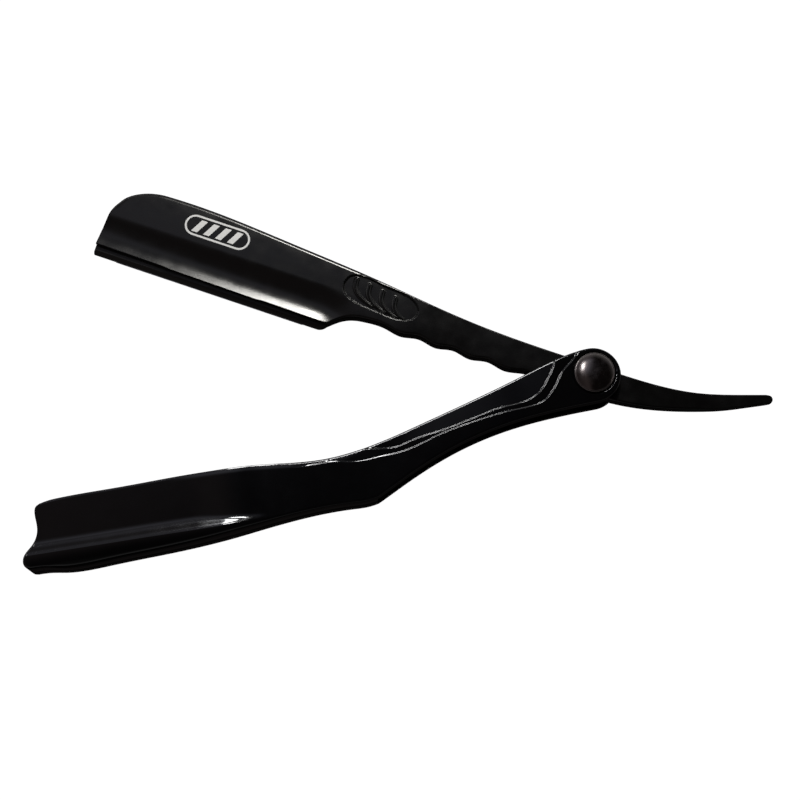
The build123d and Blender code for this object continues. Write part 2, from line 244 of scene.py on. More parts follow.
def mesh_object(name, points, faces):
    """Smooth-shaded object with sharp edges only where faces turn more than the crease angle."""
    mesh = bpy.data.meshes.new(name)
    mesh.from_pydata([tuple(point) for point in points], [], faces)
    mesh.update()
    piece = bpy.data.objects.new(name, mesh)
    bpy.context.scene.collection.objects.link(piece)
    finish_normals(piece)
    return piece


def finish_normals(piece, crease=CREASE_ANGLE):
    """Outward faces, smooth except across sharp edges."""
    work = bmesh.new()
    work.from_mesh(piece.data)
    bmesh.ops.recalc_face_normals(work, faces=work.faces)
    work.to_mesh(piece.data)
    work.free()
    piece.data.shade_smooth()
    piece.data.set_sharp_from_angle(angle=radians(crease))


def tube_faces(count):
    """Two end faces of count points each, and the walls between them."""
    ends = [list(range(count))[::-1], list(range(count, 2 * count))]
    return ends + [[i, (i + 1) % count, count + (i + 1) % count, count + i] for i in range(count)]


def prism(name, outline, low, high, turn=0.0):
    """Upright prism over a plan outline, heights in millimetres."""
    x, y = outline[:, 0], outline[:, 1]
    plan = np.stack([x * cos(turn) - y * sin(turn), x * sin(turn) + y * cos(turn)], axis=1)
    points = [(px, py, height) for height in (low, high) for px, py in plan]
    return mesh_object(name, np.array(points) * MM, tube_faces(len(plan)))


def bar(name, section, first, last):
    """Bar along the arm's X from first to last, with a section given as arm Y and height."""
    along_arm = np.array([cos(rest_angle), sin(rest_angle), 0])
    up_arm = np.array([-sin(rest_angle), cos(rest_angle), 0])
    points = []
    for x in (first, last):
        points += [along_arm * x + up_arm * y + np.array([0, 0, z]) for y, z in section]
    return mesh_object(name, np.array(points) * MM, tube_faces(len(section)))


def cut(piece, tool, operation="DIFFERENCE"):
    """Boolean of a piece with a tool, which is used up."""
    modifier = piece.modifiers.new("cut", "BOOLEAN")
    modifier.operation = operation
    modifier.solver = "EXACT"
    modifier.object = tool
    bpy.context.view_layer.update()
    worked_out = piece.evaluated_get(bpy.context.evaluated_depsgraph_get())
    result = bpy.data.meshes.new_from_object(worked_out)
    piece.modifiers.clear()
    piece.data = result
    bpy.data.objects.remove(tool)
    finish_normals(piece)


def lathe(name, profile, turns=160):
    """Turned piece about the pivot axis from a profile of radius and height, closed on the axis."""
    points, faces = [], []
    for radius, height in profile:
        for step in range(turns):
            angle = 2 * pi * step / turns
            points.append((radius * cos(angle), radius * sin(angle), height))
    for ring in range(len(profile) - 1):
        for step in range(turns):
            a, b = ring * turns + step, ring * turns + (step + 1) % turns
            faces.append([a, b, b + turns, a + turns])
    piece = mesh_object(name, np.array(points) * MM, faces)
    work = bmesh.new()
    work.from_mesh(piece.data)
    bmesh.ops.remove_doubles(work, verts=work.verts, dist=1e-7)
    work.to_mesh(piece.data)
    work.free()
    finish_normals(piece)
    return piece


# ---------------------------------------------------------------- handle

PIVOT_END = (-0.3, -0.4, 5.9)
handle_upper = [(-0.3, 5.5), (-5.4, 4.95), (-16.5, 2.0), (-38.5, -3.8), (-51.0, -6.6), (-59.0, -7.38)]
handle_upper += [(-71.0, -6.42), (-76.0, -5.85), (-82.0, -5.53), (-90.0, -5.25), (-104.0, -5.12)]
handle_upper += [(-116.9, -4.97), (-119.2, -5.15), (-120.6, -5.47)]
handle_lower = [(-50.3, -17.6), (-43.0, -14.2), (-31.8, -9.9), (-20.7, -7.4), (-9.9, -6.45), (-0.3, -6.3)]
handle_foot = [(-124.4, -18.75), (-121.6, -18.95), (-118.5, -19.6), (-114.0, -20.02), (-108.0, -19.9)]
handle_foot += [(-103.0, -19.8), (-91.0, -19.57), (-78.0, -18.63), (-69.0, -17.83), (-62.0, -17.56)]
handle_foot += [(-56.0, -17.75), (-52.0, -17.85), (-50.3, -17.6)]
handle_end = [(-124.4, -18.75), (-125.4, -18.4), (-125.85, -17.7), (-125.85, -16.9), (-125.05, -15.35)]
handle_end += [(-123.4, -13.75), (-122.08, -11.6), (-121.85, -9.5), (-121.9, -7.2), (-121.5, -6.0)]
handle_end += [(-120.6, -5.47)]
panel_outer = [(-66.0, -8.1), (-61.1, -8.2), (-57.3, -8.45), (-54.0, -9.15), (-48.2, -9.1), (-44.0, -8.95)]
panel_outer += [(-40.7, -8.4), (-35.4, -6.95), (-30.4, -5.95), (-25.9, -5.3), (-20.2, -4.7), (-14.6, -4.5)]
panel_outer += [(-11.6, -3.8), (-10.2, -2.7), (-8.6, -1.0), (-6.8, 1.4), (-5.1, 2.8), (-3.2, 4.4)]
panel_outer += [(-1.5, 6.5)]
panel_inner = [(-66.0, -7.0), (-55.0, -6.6), (-51.1, -6.9), (-47.4, -7.5), (-45.0, -7.7), (-40.4, -6.8)]
panel_inner += [(-35.2, -6.1), (-30.1, -5.25), (-25.8, -4.4), (-21.2, -3.6), (-13.9, -2.7), (-11.2, -0.8)]
panel_inner += [(-9.9, 0.8), (-8.7, 2.4), (-8.0, 3.8), (-7.4, 6.5)]
crest_line = [(-128.0, -16.0), (-118.0, -16.3), (-110.0, -16.6), (-100.0, -16.9), (-90.0, -17.3)]
crest_line += [(-84.0, -17.5)]
CHEEK_DROP = 1.3
FOOT_CURVE = 0.16
SLOT_HALF = 2.4
SEAT_DEPTH, SEAT_RADIUS, SEAT_WALL = 0.5, 4.42, 0.3
HOLE_RADIUS = 2.2
EDGE_RADIUS, LOW_EDGE_GROWTH = 0.4, 0.35
PANEL_STEP, PANEL_STEP_WIDTH, PANEL_LEAN = 0.15, 0.27, 0.025
FLANK_REACH = [0.0, 0.35, 1.1, 1.8, 2.4, 3.3]
FLANK_SLOPE = [0.0, 0.22, 0.36, 0.25, 0.07, 0.0]


def soft_corner(value, reach):
    """Zero below zero and the value above it, with the corner rounded over reach on each side."""
    rounded = (value + reach) ** 2 / (4 * reach)
    return np.where(value < -reach, 0, np.where(value > reach, value, rounded))


def panel_depth(x, y):
    """Depth of the stepped panel in the neck below the surface around it."""
    far = np.array([[5.0, 20.0], [-66.0, 20.0]])
    depth = np.zeros(x.shape)
    faint = 0.33 + 0.67 * smooth(-50, -42, x) + 0.67 * smooth(-58.5, -60, x)
    for points, share in ((panel_outer, faint), (panel_inner, 1)):
        line = spline(points, step=0.1)
        gap = distance(line, x, y)[0] * np.where(inside(np.vstack([line, far]), x, y), 1, -1)
        depth += PANEL_STEP * share * smooth(-PANEL_STEP_WIDTH / 2, PANEL_STEP_WIDTH / 2, gap)
    lean = PANEL_LEAN * smooth(-50, -34, x) * soft_corner(gap, 0.3)
    return (depth + lean) * smooth(-68, -56, x)


def handle_skin(x, y):
    """Height of the front face of the handle above the rest plane."""
    cheek = total_thickness - CHEEK_DROP
    line = np.array(crest_line)
    crest = np.interp(x, line[:, 0], line[:, 1])
    narrow = 1 - 0.5 * smooth(-90, -76, x)
    above = np.clip(y - crest, 0, None) / narrow
    below = np.clip(crest - y, 0, None)
    fine = np.linspace(0, FLANK_REACH[-1], 200)
    slope = np.interp(fine, FLANK_REACH, FLANK_SLOPE)
    drop = np.concatenate([[0], np.cumsum((slope[1:] + slope[:-1]) / 2)]) * fine[1]
    flank = np.interp(above, fine, drop) * narrow
    ridge = smooth(-73, -84, x)
    swell = total_thickness - flank * ridge - drop[-1] * (1 - ridge)
    swell = swell - FOOT_CURVE * below**2 / (1 + 0.1 * below)
    return cheek + (swell - cheek) * smooth(-46, -80, x) - panel_depth(x, y)


def handle_scale(name, side):
    """One scale of the handle: side 1 is the front, side -1 the back."""
    centre, radius = PIVOT_END[:2], PIVOT_END[2]
    upper = spline(handle_upper, start=(-1, 0), step=0.2)[::-1]
    foot = spline(handle_foot, step=0.2)
    heel = spline(handle_lower, start=(8, 3.6), end=(1, 0), step=0.2)
    cap_low = arc(centre, radius, -90, -45)
    cap_high = arc(centre, radius, 45, 90)
    lower = chain(foot, heel, cap_low)
    upper = chain(upper, cap_high[::-1])
    left = spline(handle_end, step=0.1)
    right = arc(centre, radius, -45, 45)
    reach = np.concatenate([np.linspace(-124.3, -67, 92), np.linspace(-67, -15, 225)[1:]])
    reach = np.concatenate([reach, np.linspace(-15, -1, 120)[1:], np.linspace(-1, 3.87, 32)[1:]])
    stations = (reach - reach[0]) / (reach[-1] - reach[0])
    grid = strip(lower, upper, left, right, stations, 184)
    outline = np.vstack([lower, right, upper[::-1], left[::-1]])
    x, y = grid[..., 0], grid[..., 1]
    gap = distance(outline, x, y, closed=True)[0]
    seat = np.hypot(x, y)
    low_side = smooth(-11, -15, y) * smooth(-60, -80, x)
    top_side = smooth(-12, -9, y) * smooth(-96, -84, x) * smooth(-50, -60, x)
    round_edge = EDGE_RADIUS + LOW_EDGE_GROWTH * low_side - 0.25 * smooth(-119, -121, x)
    round_edge -= 0.24 * top_side * smooth(-66, -70, x)
    crown = 0.045 * np.clip(1.3 - gap, 0, None) ** 2 * top_side
    top = handle_skin(x, y) - crown - rounding(gap, round_edge)
    seat_floor = total_thickness - CHEEK_DROP - SEAT_DEPTH
    seat_wall = seat_floor + SEAT_DEPTH * smooth(SEAT_RADIUS, SEAT_RADIUS + SEAT_WALL, seat)
    top = np.where(seat < SEAT_RADIUS + SEAT_WALL, np.minimum(top, seat_wall), top)
    bottom = middle + 0.12 * (1 - np.clip(gap / 0.1, 0, 1))
    bottom[BORDER:-BORDER, BORDER:-BORDER] = middle
    if side < 0:
        top, bottom = 2 * middle - top, 2 * middle - bottom
    piece = slab(name, grid, top, bottom, plain=True)
    web = np.array([(-50.5, -15.8), (-67.0, -15.8), (-84.0, -17.2), (-130.0, -17.2), (-130.0, 12.0)])
    web = np.vstack([web, [(12.0, 12.0), (12.0, -24.0), (-50.5, -24.0)]])
    low, high = (middle - 1, middle + SLOT_HALF) if side > 0 else (middle - SLOT_HALF, middle + 1)
    cut(piece, prism("slot", web, low, high))
    cut(piece, prism("hole", arc((0, 0), HOLE_RADIUS, 0, 355), 0, total_thickness))
    return piece


front_scale = handle_scale("front_scale", 1)
back_scale = handle_scale("back_scale", -1)

# ---------------------------------------------------------------- arm

TOE_X, HEEL_X, CREASE_Y, FOLD_Y = -111.4, -58.0, 0.3, 2.7
RIDGE_TOE_Y, RIDGE_HEEL_Y = -7.2, -7.85
HOLLOW_REACH = 7.65
SCALLOP_PITCH, SCALLOP_MID, SCALLOP_WAVE = 7.8, -4.32, 0.33
FIRST_CREST = -42.1
SHANK_HALF, CARRIER_SLOT_HALF, EYE_RADIUS = 1.8, 0.75, 2.25


def arm_borders():
    """Lower, upper, toe and tip lines of the arm."""
    scallops = []
    for step in range(8):
        wave = 1 if step % 2 == 0 else -1
        scallops.append((FIRST_CREST + step * SCALLOP_PITCH / 2, SCALLOP_MID - wave * SCALLOP_WAVE))
    ridge = np.array([(TOE_X, RIDGE_TOE_Y), (HEEL_X, RIDGE_HEEL_Y)])
    heel = spline([(HEEL_X, RIDGE_HEEL_Y), (-54.9, -5.4), (-51.5, -4.25)], start=(1, 0.8), end=(1, 0.12))
    under = [(-10.0, -3.9), (0.0, -4.2), (10.3, -3.3), (20.4, -0.8), (30.1, 2.9), (36.6, 6.3)]
    grip = spline([(-51.5, -4.25), (-46.0, -4.05)] + scallops + under, start=(1, 0.12))
    nose = spline([(-109.6, 3.75), (-107.0, 6.2), (-100.5, 8.05)], start=(0.55, 1), end=(1, 0.04))
    spine = [(-100.5, 8.05), (-88.0, 8.0), (-71.0, 6.8), (-54.0, 5.4), (-36.7, 3.4), (-20.0, 2.3)]
    spine += [(0.0, 2.2), (11.7, 2.4), (22.1, 3.7), (31.9, 6.7), (36.4, 8.3)]
    back = spline(spine, start=(1, 0.04))
    toe = chain(
        np.array([(TOE_X, RIDGE_TOE_Y), (-111.1, -0.6)]),
        spline([(-111.1, -0.6), (-110.55, 2.1), (-109.6, 3.75)], start=(0.04, 1), end=(0.55, 1)),
    )
    tip = spline([(36.6, 6.3), (38.1, 7.3), (37.8, 8.2), (36.4, 8.3)], step=0.05)
    return chain(ridge, heel, grip), chain(nose, back), toe, tip


POCKET = [(-57.4, 1.9), (-56.6, 3.9), (-54.6, 4.65), (-48.0, 4.05), (-41.9, 3.1), (-40.1, 1.2)]
POCKET += [(-40.5, -0.6), (-42.9, -1.95), (-49.0, -1.9), (-54.2, -1.25), (-56.8, 0.2), (-57.4, 1.9)]
POCKET_DEPTH, RIB_HEIGHT, RIB_WIDTH = 0.5, 0.34, 0.62
RIB = [(-55.1, 3.7), (-54.8, 1.9), (-53.6, 0.5), (-51.6, -0.5), (-50.0, -1.0)]
RIB_COUNT, RIB_PITCH, RIB_FALL = 4, 3.1, -0.43


def thumb_rest(x, y):
    """Depth of the thumb rest's pocket, with its hooked ribs."""
    near = (x > -59) & (x < -38.5) & (y > -4) & (y < 6.5)
    depth = np.zeros(x.shape)
    px, py = x[near], y[near]
    line = spline(POCKET, step=0.1)
    gap = distance(line, px, py)[0] * np.where(inside(line, px, py), 1, -1)
    pocket = POCKET_DEPTH * smooth(-0.07, 0.17, gap)
    ribs = np.zeros(px.shape)
    for index in range(RIB_COUNT):
        path = spline(RIB, step=0.1) + np.array([index * RIB_PITCH, index * RIB_FALL])
        away, place = distance(path, px, py)
        share = place / (len(path) - 1)
        width = RIB_WIDTH - 0.25 * share
        height = RIB_HEIGHT - 0.1 * share
        ribs = np.maximum(ribs, height * (1 - smooth(0.25 * width, width, away)))
    depth[near] = pocket - ribs * smooth(0.2, 0.7, gap)
    return depth


HOLLOW_SHARE = [0, 0.1, 0.22, 0.62, 0.86, 1.1]
HOLLOW_SLOPE = [0, -0.1, -0.22, 0.0, 0.175, 0.25]


def arm_half(x, y):
    """Half thickness of the arm: flat head above its hollow, thinner shank, tapering tail."""
    down = np.clip((CREASE_Y - y) / HOLLOW_REACH, 0, HOLLOW_SHARE[-1])
    fine = np.linspace(0, HOLLOW_SHARE[-1], 111)
    slope = np.interp(fine, HOLLOW_SHARE, HOLLOW_SLOPE)
    drop = np.concatenate([[0], np.cumsum((slope[1:] + slope[:-1]) / 2)]) * fine[1] * HOLLOW_REACH
    hollow = np.interp(down, fine, drop) * smooth(-52, -61, x + 0.35 * (y + 4))
    hollow = hollow * (0.75 + 0.25 * smooth(-112, -80, x))
    crown = -0.006 * np.clip(y - 2.0, 0, None) ** 2
    crown -= 0.004 * np.clip(-0.5 - y, 0, None) ** 2 * smooth(-61, -56, x) * smooth(8, 0, x)
    shank = smooth(-42, -24, x) * (head_half - SHANK_HALF)
    taper = np.clip((x - 8) / 30, 0, 1) * 0.8
    return head_half + hollow + crown - shank - taper - thumb_rest(x, y)


def build_arm():
    """Blade arm with the carrier's slot and channel and the pivot's eye cut out."""
    lower, upper, toe, tip = arm_borders()
    coarse_head = np.linspace(-111.4, -59, 62)
    fine_rest = np.linspace(-59, -39, 160)[1:]
    shank = np.linspace(-39, 38.4, 125)[1:]
    reach = np.concatenate([coarse_head, fine_rest, shank])
    stations = (reach - reach[0]) / (reach[-1] - reach[0])
    grid = strip(lower, upper, toe, tip, stations, 108)
    x, y = grid[..., 0], grid[..., 1]
    outline = np.vstack([lower, tip, upper[::-1], toe[::-1]])
    gap = distance(outline, x, y, closed=True)[0]
    ridge_side = (1 - smooth(-60, -56, x)) * (1 - smooth(-3, 2, y))
    upper_side = smooth(0, 2, y)
    edge = 0.45 + (0.4 - 0.65 * smooth(-60, -42, x)) * upper_side
    edge = edge * (1 - ridge_side) + 0.14 * ridge_side
    half = arm_half(x, y) - rounding(gap, edge)
    piece = slab("arm", grid, middle + half, middle - half, rest_angle)
    channel = fold_channel(CARRIER_SLOT_HALF)
    mouth = [[(-12.0, middle - CARRIER_SLOT_HALF)], [(-12.0, middle + CARRIER_SLOT_HALF)]]
    section = np.vstack([mouth[0], channel, mouth[1]])
    cut(piece, bar("slot", section, -113.0, HEEL_X - 0.6))
    cut(piece, prism("eye", arc((0, 0), EYE_RADIUS, 0, 355), 0, total_thickness))
    return piece


def fold_channel(slot_half):
    """Section of the round channel for the carrier's fold, from one wall of the slot to the other."""
    radius = fold_radius + 0.1
    reach = np.arcsin(slot_half / radius)
    turn = np.linspace(-pi + reach, pi - reach, 40)
    return np.stack([FOLD_Y + radius * np.cos(turn), middle + radius * np.sin(turn)], axis=1)


arm = build_arm()

# ---------------------------------------------------------------- blade carrier

LIP_Y, LIP_BEVEL_Y, LIP_HALF, LEAF_HALF, LEAF_GAP = -9.3, -8.3, 0.35, 0.65, 0.06
CARRIER_HEEL_X, CARRIER_CORNER = -57.7, 2.2


def build_carrier():
    """Folded clip: a round fold in the arm's channel and two leaves down to the bevelled lip."""
    reach = np.arcsin(LEAF_HALF / fold_radius)
    turn = np.linspace(-pi + reach, pi - reach, 48)
    fold = np.stack([FOLD_Y + fold_radius * np.cos(turn), middle + fold_radius * np.sin(turn)], axis=1)
    front = [(LIP_BEVEL_Y, middle + LEAF_HALF), (LIP_Y + 0.1, middle + LIP_HALF + 0.03)]
    front += [(LIP_Y, middle + LIP_HALF - 0.06)]
    gap_end = FOLD_Y - 0.4
    gap = [(LIP_Y, middle + LEAF_GAP), (gap_end, middle + LEAF_GAP)]
    gap += [(gap_end, middle - LEAF_GAP), (LIP_Y, middle - LEAF_GAP)]
    back = [(y, 2 * middle - z) for y, z in front[::-1]]
    piece = bar("carrier", np.vstack([fold, front, gap, back]), TOE_X - 1, CARRIER_HEEL_X + 1)
    toe = spline([(TOE_X, -8.75), (-111.1, -0.6), (-110.3, 2.4), (-108.6, 4.4)], step=0.2)
    corner = [(-110.95, LIP_Y - 0.2), (TOE_X + 0.05, -8.95), (TOE_X, -8.75)]
    corner = spline(corner, start=(-1, 0.1), end=(0, 1), step=0.04)
    corner_x = CARRIER_HEEL_X - CARRIER_CORNER
    heel = arc((corner_x, LIP_Y + CARRIER_CORNER), CARRIER_CORNER, -90, 0)
    foot = [(corner_x, LIP_Y - 0.2)]
    outline = np.vstack([toe, [(CARRIER_HEEL_X, 4.4)], heel[::-1], foot, corner[:-1]])
    cut(piece, prism("outline", outline, 0, total_thickness, rest_angle), "INTERSECT")
    finish_normals(piece, 14)
    return piece


carrier = build_carrier()

# ---------------------------------------------------------------- pivot rivet

HEAD_RADIUS, HEAD_BASE, HEAD_FLAT = 4.3, 10.0, 2.4


def dome(radius, base, crown):
    """Profile of a domed head from its top out to its base: low dome, fine groove, round rim, wall."""
    rise, groove, rim = 0.8, 0.93, 0.22
    reach = radius * groove * np.linspace(0, 1, 44) ** 0.7
    cap = [(r, crown - rise * (r / radius) ** 3) for r in reach]
    edge = cap[-1][1]
    cap += [(radius * groove + 0.04, edge - 0.05), (radius * groove + 0.08, edge - 0.02)]
    turn = np.linspace(pi / 2, 0, 9)
    cap += [(radius - rim + rim * cos(angle), edge - 0.05 - rim + rim * sin(angle)) for angle in turn]
    return cap + [(radius, base)]


def build_rivets():
    """Front head with its pin, and back head with the barrel that the pin goes into."""
    front = dome(HEAD_RADIUS, HEAD_BASE, total_thickness)
    front += [(1.4, HEAD_BASE), (1.4, 2.9), (1.3, 2.8), (0, 2.8)]
    back = [(0, 0), (HEAD_FLAT, 0), (HEAD_FLAT + 0.12, 0.02)]
    edge = spline([(HEAD_FLAT + 0.12, 0.02), (3.5, 0.42), (4.2, 1.15)], start=(1, 0.25), end=(0.4, 1))
    back += [tuple(point) for point in edge[1:]]
    back += [(HEAD_RADIUS, 1.5), (HEAD_RADIUS, 1.8)]
    back += [(2.2, 1.8), (2.2, 9.9), (1.45, 9.9), (1.45, 2.4), (0, 2.4)]
    return lathe("rivet_front", front), lathe("rivet_back", back)


rivet_front, rivet_back = build_rivets()

# ---------------------------------------------------------------- generic mark on the head


def mark_band(name, lower, upper, count=24):
    """Thin printed patch on the head's front face, between two lines in the arm's X and Y."""
    rows = np.linspace(0, 1, count)
    low, high = along(np.array(lower, float), rows), along(np.array(upper, float), rows)
    across = np.linspace(0, 1, 7)[None, :, None]
    grid = low[:, None] * (1 - across) + high[:, None] * across
    height = middle + arm_half(grid[..., 0], grid[..., 1])
    return slab(name, grid, height + 0.012, height - 0.04, rest_angle)


def build_mark():
    """A plain capsule with slanted stripes, like a barber's pole."""
    centre, half_length, half_height, line = (-87.2, 3.7), 7.4, 2.35, 0.42
    rings = []
    for radius in (half_height - line, half_height):
        right = arc((centre[0] + half_length - half_height, centre[1]), radius, -90, 90)
        left = arc((centre[0] - half_length + half_height, centre[1]), radius, 90, 270)
        ring = chain(right, left)
        rings.append(np.vstack([ring, ring[:1]]))
    pieces = [mark_band("mark_ring", rings[0], rings[1], 160)]
    inside_half = half_height - line - 0.45
    slant, width, pitch = 1.5, 1.35, 2.75
    for index in range(4):
        x = centre[0] + (index - 1.5) * pitch
        low = centre[1] - inside_half
        high = centre[1] + inside_half
        lower = [(x - width / 2 - slant / 2, low), (x + width / 2 - slant / 2, low)]
        upper = [(x - width / 2 + slant / 2, high), (x + width / 2 + slant / 2, high)]
        pieces.append(mark_band(f"mark_stripe_{index + 1}", lower, upper))
    return pieces


marks = build_mark()

# ---------------------------------------------------------------- materials


def new_material(name, colour, roughness, metallic=0.0):
    """Principled material and its nodes."""
    material = bpy.data.materials.new(name)
    material.use_nodes = True
    tree = material.node_tree
    shader = tree.nodes["Principled BSDF"]
    shader.inputs["Base Color"].default_value = (*colour, 1)
    shader.inputs["Roughness"].default_value = roughness
    shader.inputs["Metallic"].default_value = metallic
    return material, tree, shader


def noise(tree, scale, detail=3.0, stretch=(1, 1, 1)):
    """Noise over the object's own coordinates, scale in turns per metre."""
    place = tree.nodes.new("ShaderNodeTexCoord")
    mapping = tree.nodes.new("ShaderNodeMapping")
    mapping.inputs["Scale"].default_value = stretch
    texture = tree.nodes.new("ShaderNodeTexNoise")
    texture.inputs["Scale"].default_value = scale
    texture.inputs["Detail"].default_value = detail
    tree.links.new(place.outputs["Object"], mapping.inputs["Vector"])
    tree.links.new(mapping.outputs["Vector"], texture.inputs["Vector"])
    return texture.outputs["Fac"]


def spread(tree, value, low, high):
    """Value of 0 to 1 spread between low and high."""
    node = tree.nodes.new("ShaderNodeMapRange")
    node.inputs["From Min"].default_value = 0.3
    node.inputs["From Max"].default_value = 0.7
    node.inputs["To Min"].default_value = low
    node.inputs["To Max"].default_value = high
    tree.links.new(value, node.inputs["Value"])
    return node.outputs["Result"]


def tint(tree, value, dark, light):
    """Colour between dark and light by a value."""
    node = tree.nodes.new("ShaderNodeMix")
    node.data_type = "RGBA"
    node.inputs["A"].default_value = (*dark, 1)
    node.inputs["B"].default_value = (*light, 1)
    tree.links.new(value, node.inputs["Factor"])
    return node.outputs["Result"]


def bump(tree, shader, value, height):
    """Bump of a height in metres."""
    node = tree.nodes.new("ShaderNodeBump")
    node.inputs["Strength"].default_value = 1.0
    node.inputs["Distance"].default_value = height
    tree.links.new(value, node.inputs["Height"])
    tree.links.new(node.outputs["Normal"], shader.inputs["Normal"])


def satin_coating(name, dark, light, roughness):
    """Black coating over metal: fine grain, slight cloudiness in colour and gloss."""
    material, tree, shader = new_material(name, dark, roughness)
    cloud = noise(tree, 90, 4)
    tree.links.new(tint(tree, cloud, dark, light), shader.inputs["Base Color"])
    grain = noise(tree, 5200, 2)
    gloss = spread(tree, noise(tree, 260, 5), roughness - 0.035, roughness + 0.035)
    tree.links.new(gloss, shader.inputs["Roughness"])
    bump(tree, shader, grain, 0.0000035)
    shader.inputs["IOR"].default_value = 1.5
    return material


def gloss_plastic(name):
    """High-gloss moulded black plastic with faint flow waves."""
    material, tree, shader = new_material(name, (0.004, 0.004, 0.005), 0.07)
    flow = tint(tree, noise(tree, 40, 3), (0.0012, 0.0012, 0.0015), (0.002, 0.0019, 0.0023))
    tree.links.new(flow, shader.inputs["Base Color"])
    tree.links.new(spread(tree, noise(tree, 320, 5), 0.055, 0.1), shader.inputs["Roughness"])
    bump(tree, shader, noise(tree, 160, 1), 0.000004)
    shader.inputs["IOR"].default_value = 1.49
    shader.inputs["Coat Weight"].default_value = 0.25
    shader.inputs["Coat Roughness"].default_value = 0.03
    return material


def polished_metal(name, dark, light, roughness):
    """Polished metal with a faint haze."""
    material, tree, shader = new_material(name, dark, roughness, 1.0)
    tree.links.new(tint(tree, noise(tree, 500, 4), dark, light), shader.inputs["Base Color"])
    haze = spread(tree, noise(tree, 900, 5), roughness - 0.03, roughness + 0.06)
    tree.links.new(haze, shader.inputs["Roughness"])
    bump(tree, shader, noise(tree, 1800, 2), 0.000002)
    return material


def rolled_metal(name, colour, roughness):
    """Rolled or ground steel, with fine lines along the strip."""
    material, tree, shader = new_material(name, colour, roughness, 1.0)
    lines = noise(tree, 1500, 3, (0.08, 1.6, 1.6))
    darker = tuple(0.8 * part for part in colour)
    tree.links.new(tint(tree, lines, darker, colour), shader.inputs["Base Color"])
    tree.links.new(spread(tree, lines, roughness - 0.06, roughness + 0.08), shader.inputs["Roughness"])
    bump(tree, shader, lines, 0.000002)
    return material


def printed_mark(name):
    """Pale etched mark with a fine grain."""
    material, tree, shader = new_material(name, (0.7, 0.7, 0.69), 0.5)
    pale = tint(tree, noise(tree, 2500, 3), (0.55, 0.55, 0.54), (0.82, 0.82, 0.81))
    tree.links.new(pale, shader.inputs["Base Color"])
    bump(tree, shader, noise(tree, 6000, 2), 0.000003)
    return material


coating = satin_coating("arm_coating", (0.0015, 0.0014, 0.0014), (0.0022, 0.002, 0.002), 0.185)
carrier_coating = satin_coating("carrier_coating", (0.005, 0.0045, 0.0045), (0.0065, 0.006, 0.006), 0.3)
plastic = gloss_plastic("handle_gloss")
dark_chrome = polished_metal("dark_chrome", (0.2, 0.178, 0.174), (0.26, 0.235, 0.228), 0.17)
plain_steel = rolled_metal("plain_steel", (0.5, 0.5, 0.51), 0.32)
blade_steel = rolled_metal("blade_steel", (0.62, 0.62, 0.64), 0.25)
mark_print = printed_mark("mark_print")


def dress(piece, material):
    """Give a piece one material."""
    piece.data.materials.clear()
    piece.data.materials.append(material)


for piece in (front_scale, back_scale):
    dress(piece, plastic)
dress(arm, coating)
dress(carrier, carrier_coating)
for piece in (rivet_front, rivet_back):
    dress(piece, dark_chrome)
for piece in marks:
    dress(piece, mark_print)
nodes = frame["nodes"]
steel_names = ("scale_pins", "pivot_washer", "pivot_spring_washer", "carrier_spring", "blade_pins")
steel = [nodes[name] for name in steel_names]
for piece in steel:
    for slot in piece.material_slots:
        slot.material = plain_steel
for slot in nodes["razor_blade"].material_slots:
    slot.material = blade_steel

# ---------------------------------------------------------------- pieces and bodies

for piece, node, body in (
    (front_scale, "handle_front_scale", "handle"),
    (back_scale, "handle_back_scale", "handle"),
    (rivet_front, "pivot_rivet_front", "handle"),
    (rivet_back, "pivot_rivet_back", "handle"),
    (arm, "blade_arm", "arm"),
    (carrier, "blade_carrier", "carrier"),
):
    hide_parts(node)
    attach(piece, body)
for piece in marks:
    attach(piece, "arm")

# ---------------------------------------------------------------- camera

VIEW_TURN = radians(-11.0)
VIEW_TILT = radians(12.0)
VIEW_DISTANCE = 450.0
VIEW_AIM = (-41.5, -5.0, 5.9)
LENS = 94.2


def bench(x, y, z):
    """Place given square to the camera's view, from the pivot in millimetres, in the row's frame."""
    return Matrix.Rotation(VIEW_TURN, 4, "Z") @ Vector((x, y, z)) * MM


def look(thing, place, aim):
    """Stand a camera or light at a place and point it at another."""
    thing.location = place
    thing.rotation_euler = (aim - place).to_track_quat("-Z", "Y").to_euler()


def build_camera():
    """Camera over the bench, tilted towards the handle's side."""
    camera = bpy.data.objects.new("camera", bpy.data.cameras.new("camera"))
    bpy.context.scene.collection.objects.link(camera)
    x, y, z = VIEW_AIM
    place = bench(x, y - VIEW_DISTANCE * sin(VIEW_TILT), z + VIEW_DISTANCE * cos(VIEW_TILT))
    axes = Matrix.Rotation(VIEW_TURN, 4, "Z") @ Matrix.Rotation(VIEW_TILT, 4, "X")
    camera.matrix_world = Matrix.Translation(place) @ axes
    camera.data.lens = LENS
    camera.data.clip_start = 0.01
    bpy.context.scene.camera = camera


build_camera()

# ---------------------------------------------------------------- floor, lights and surroundings


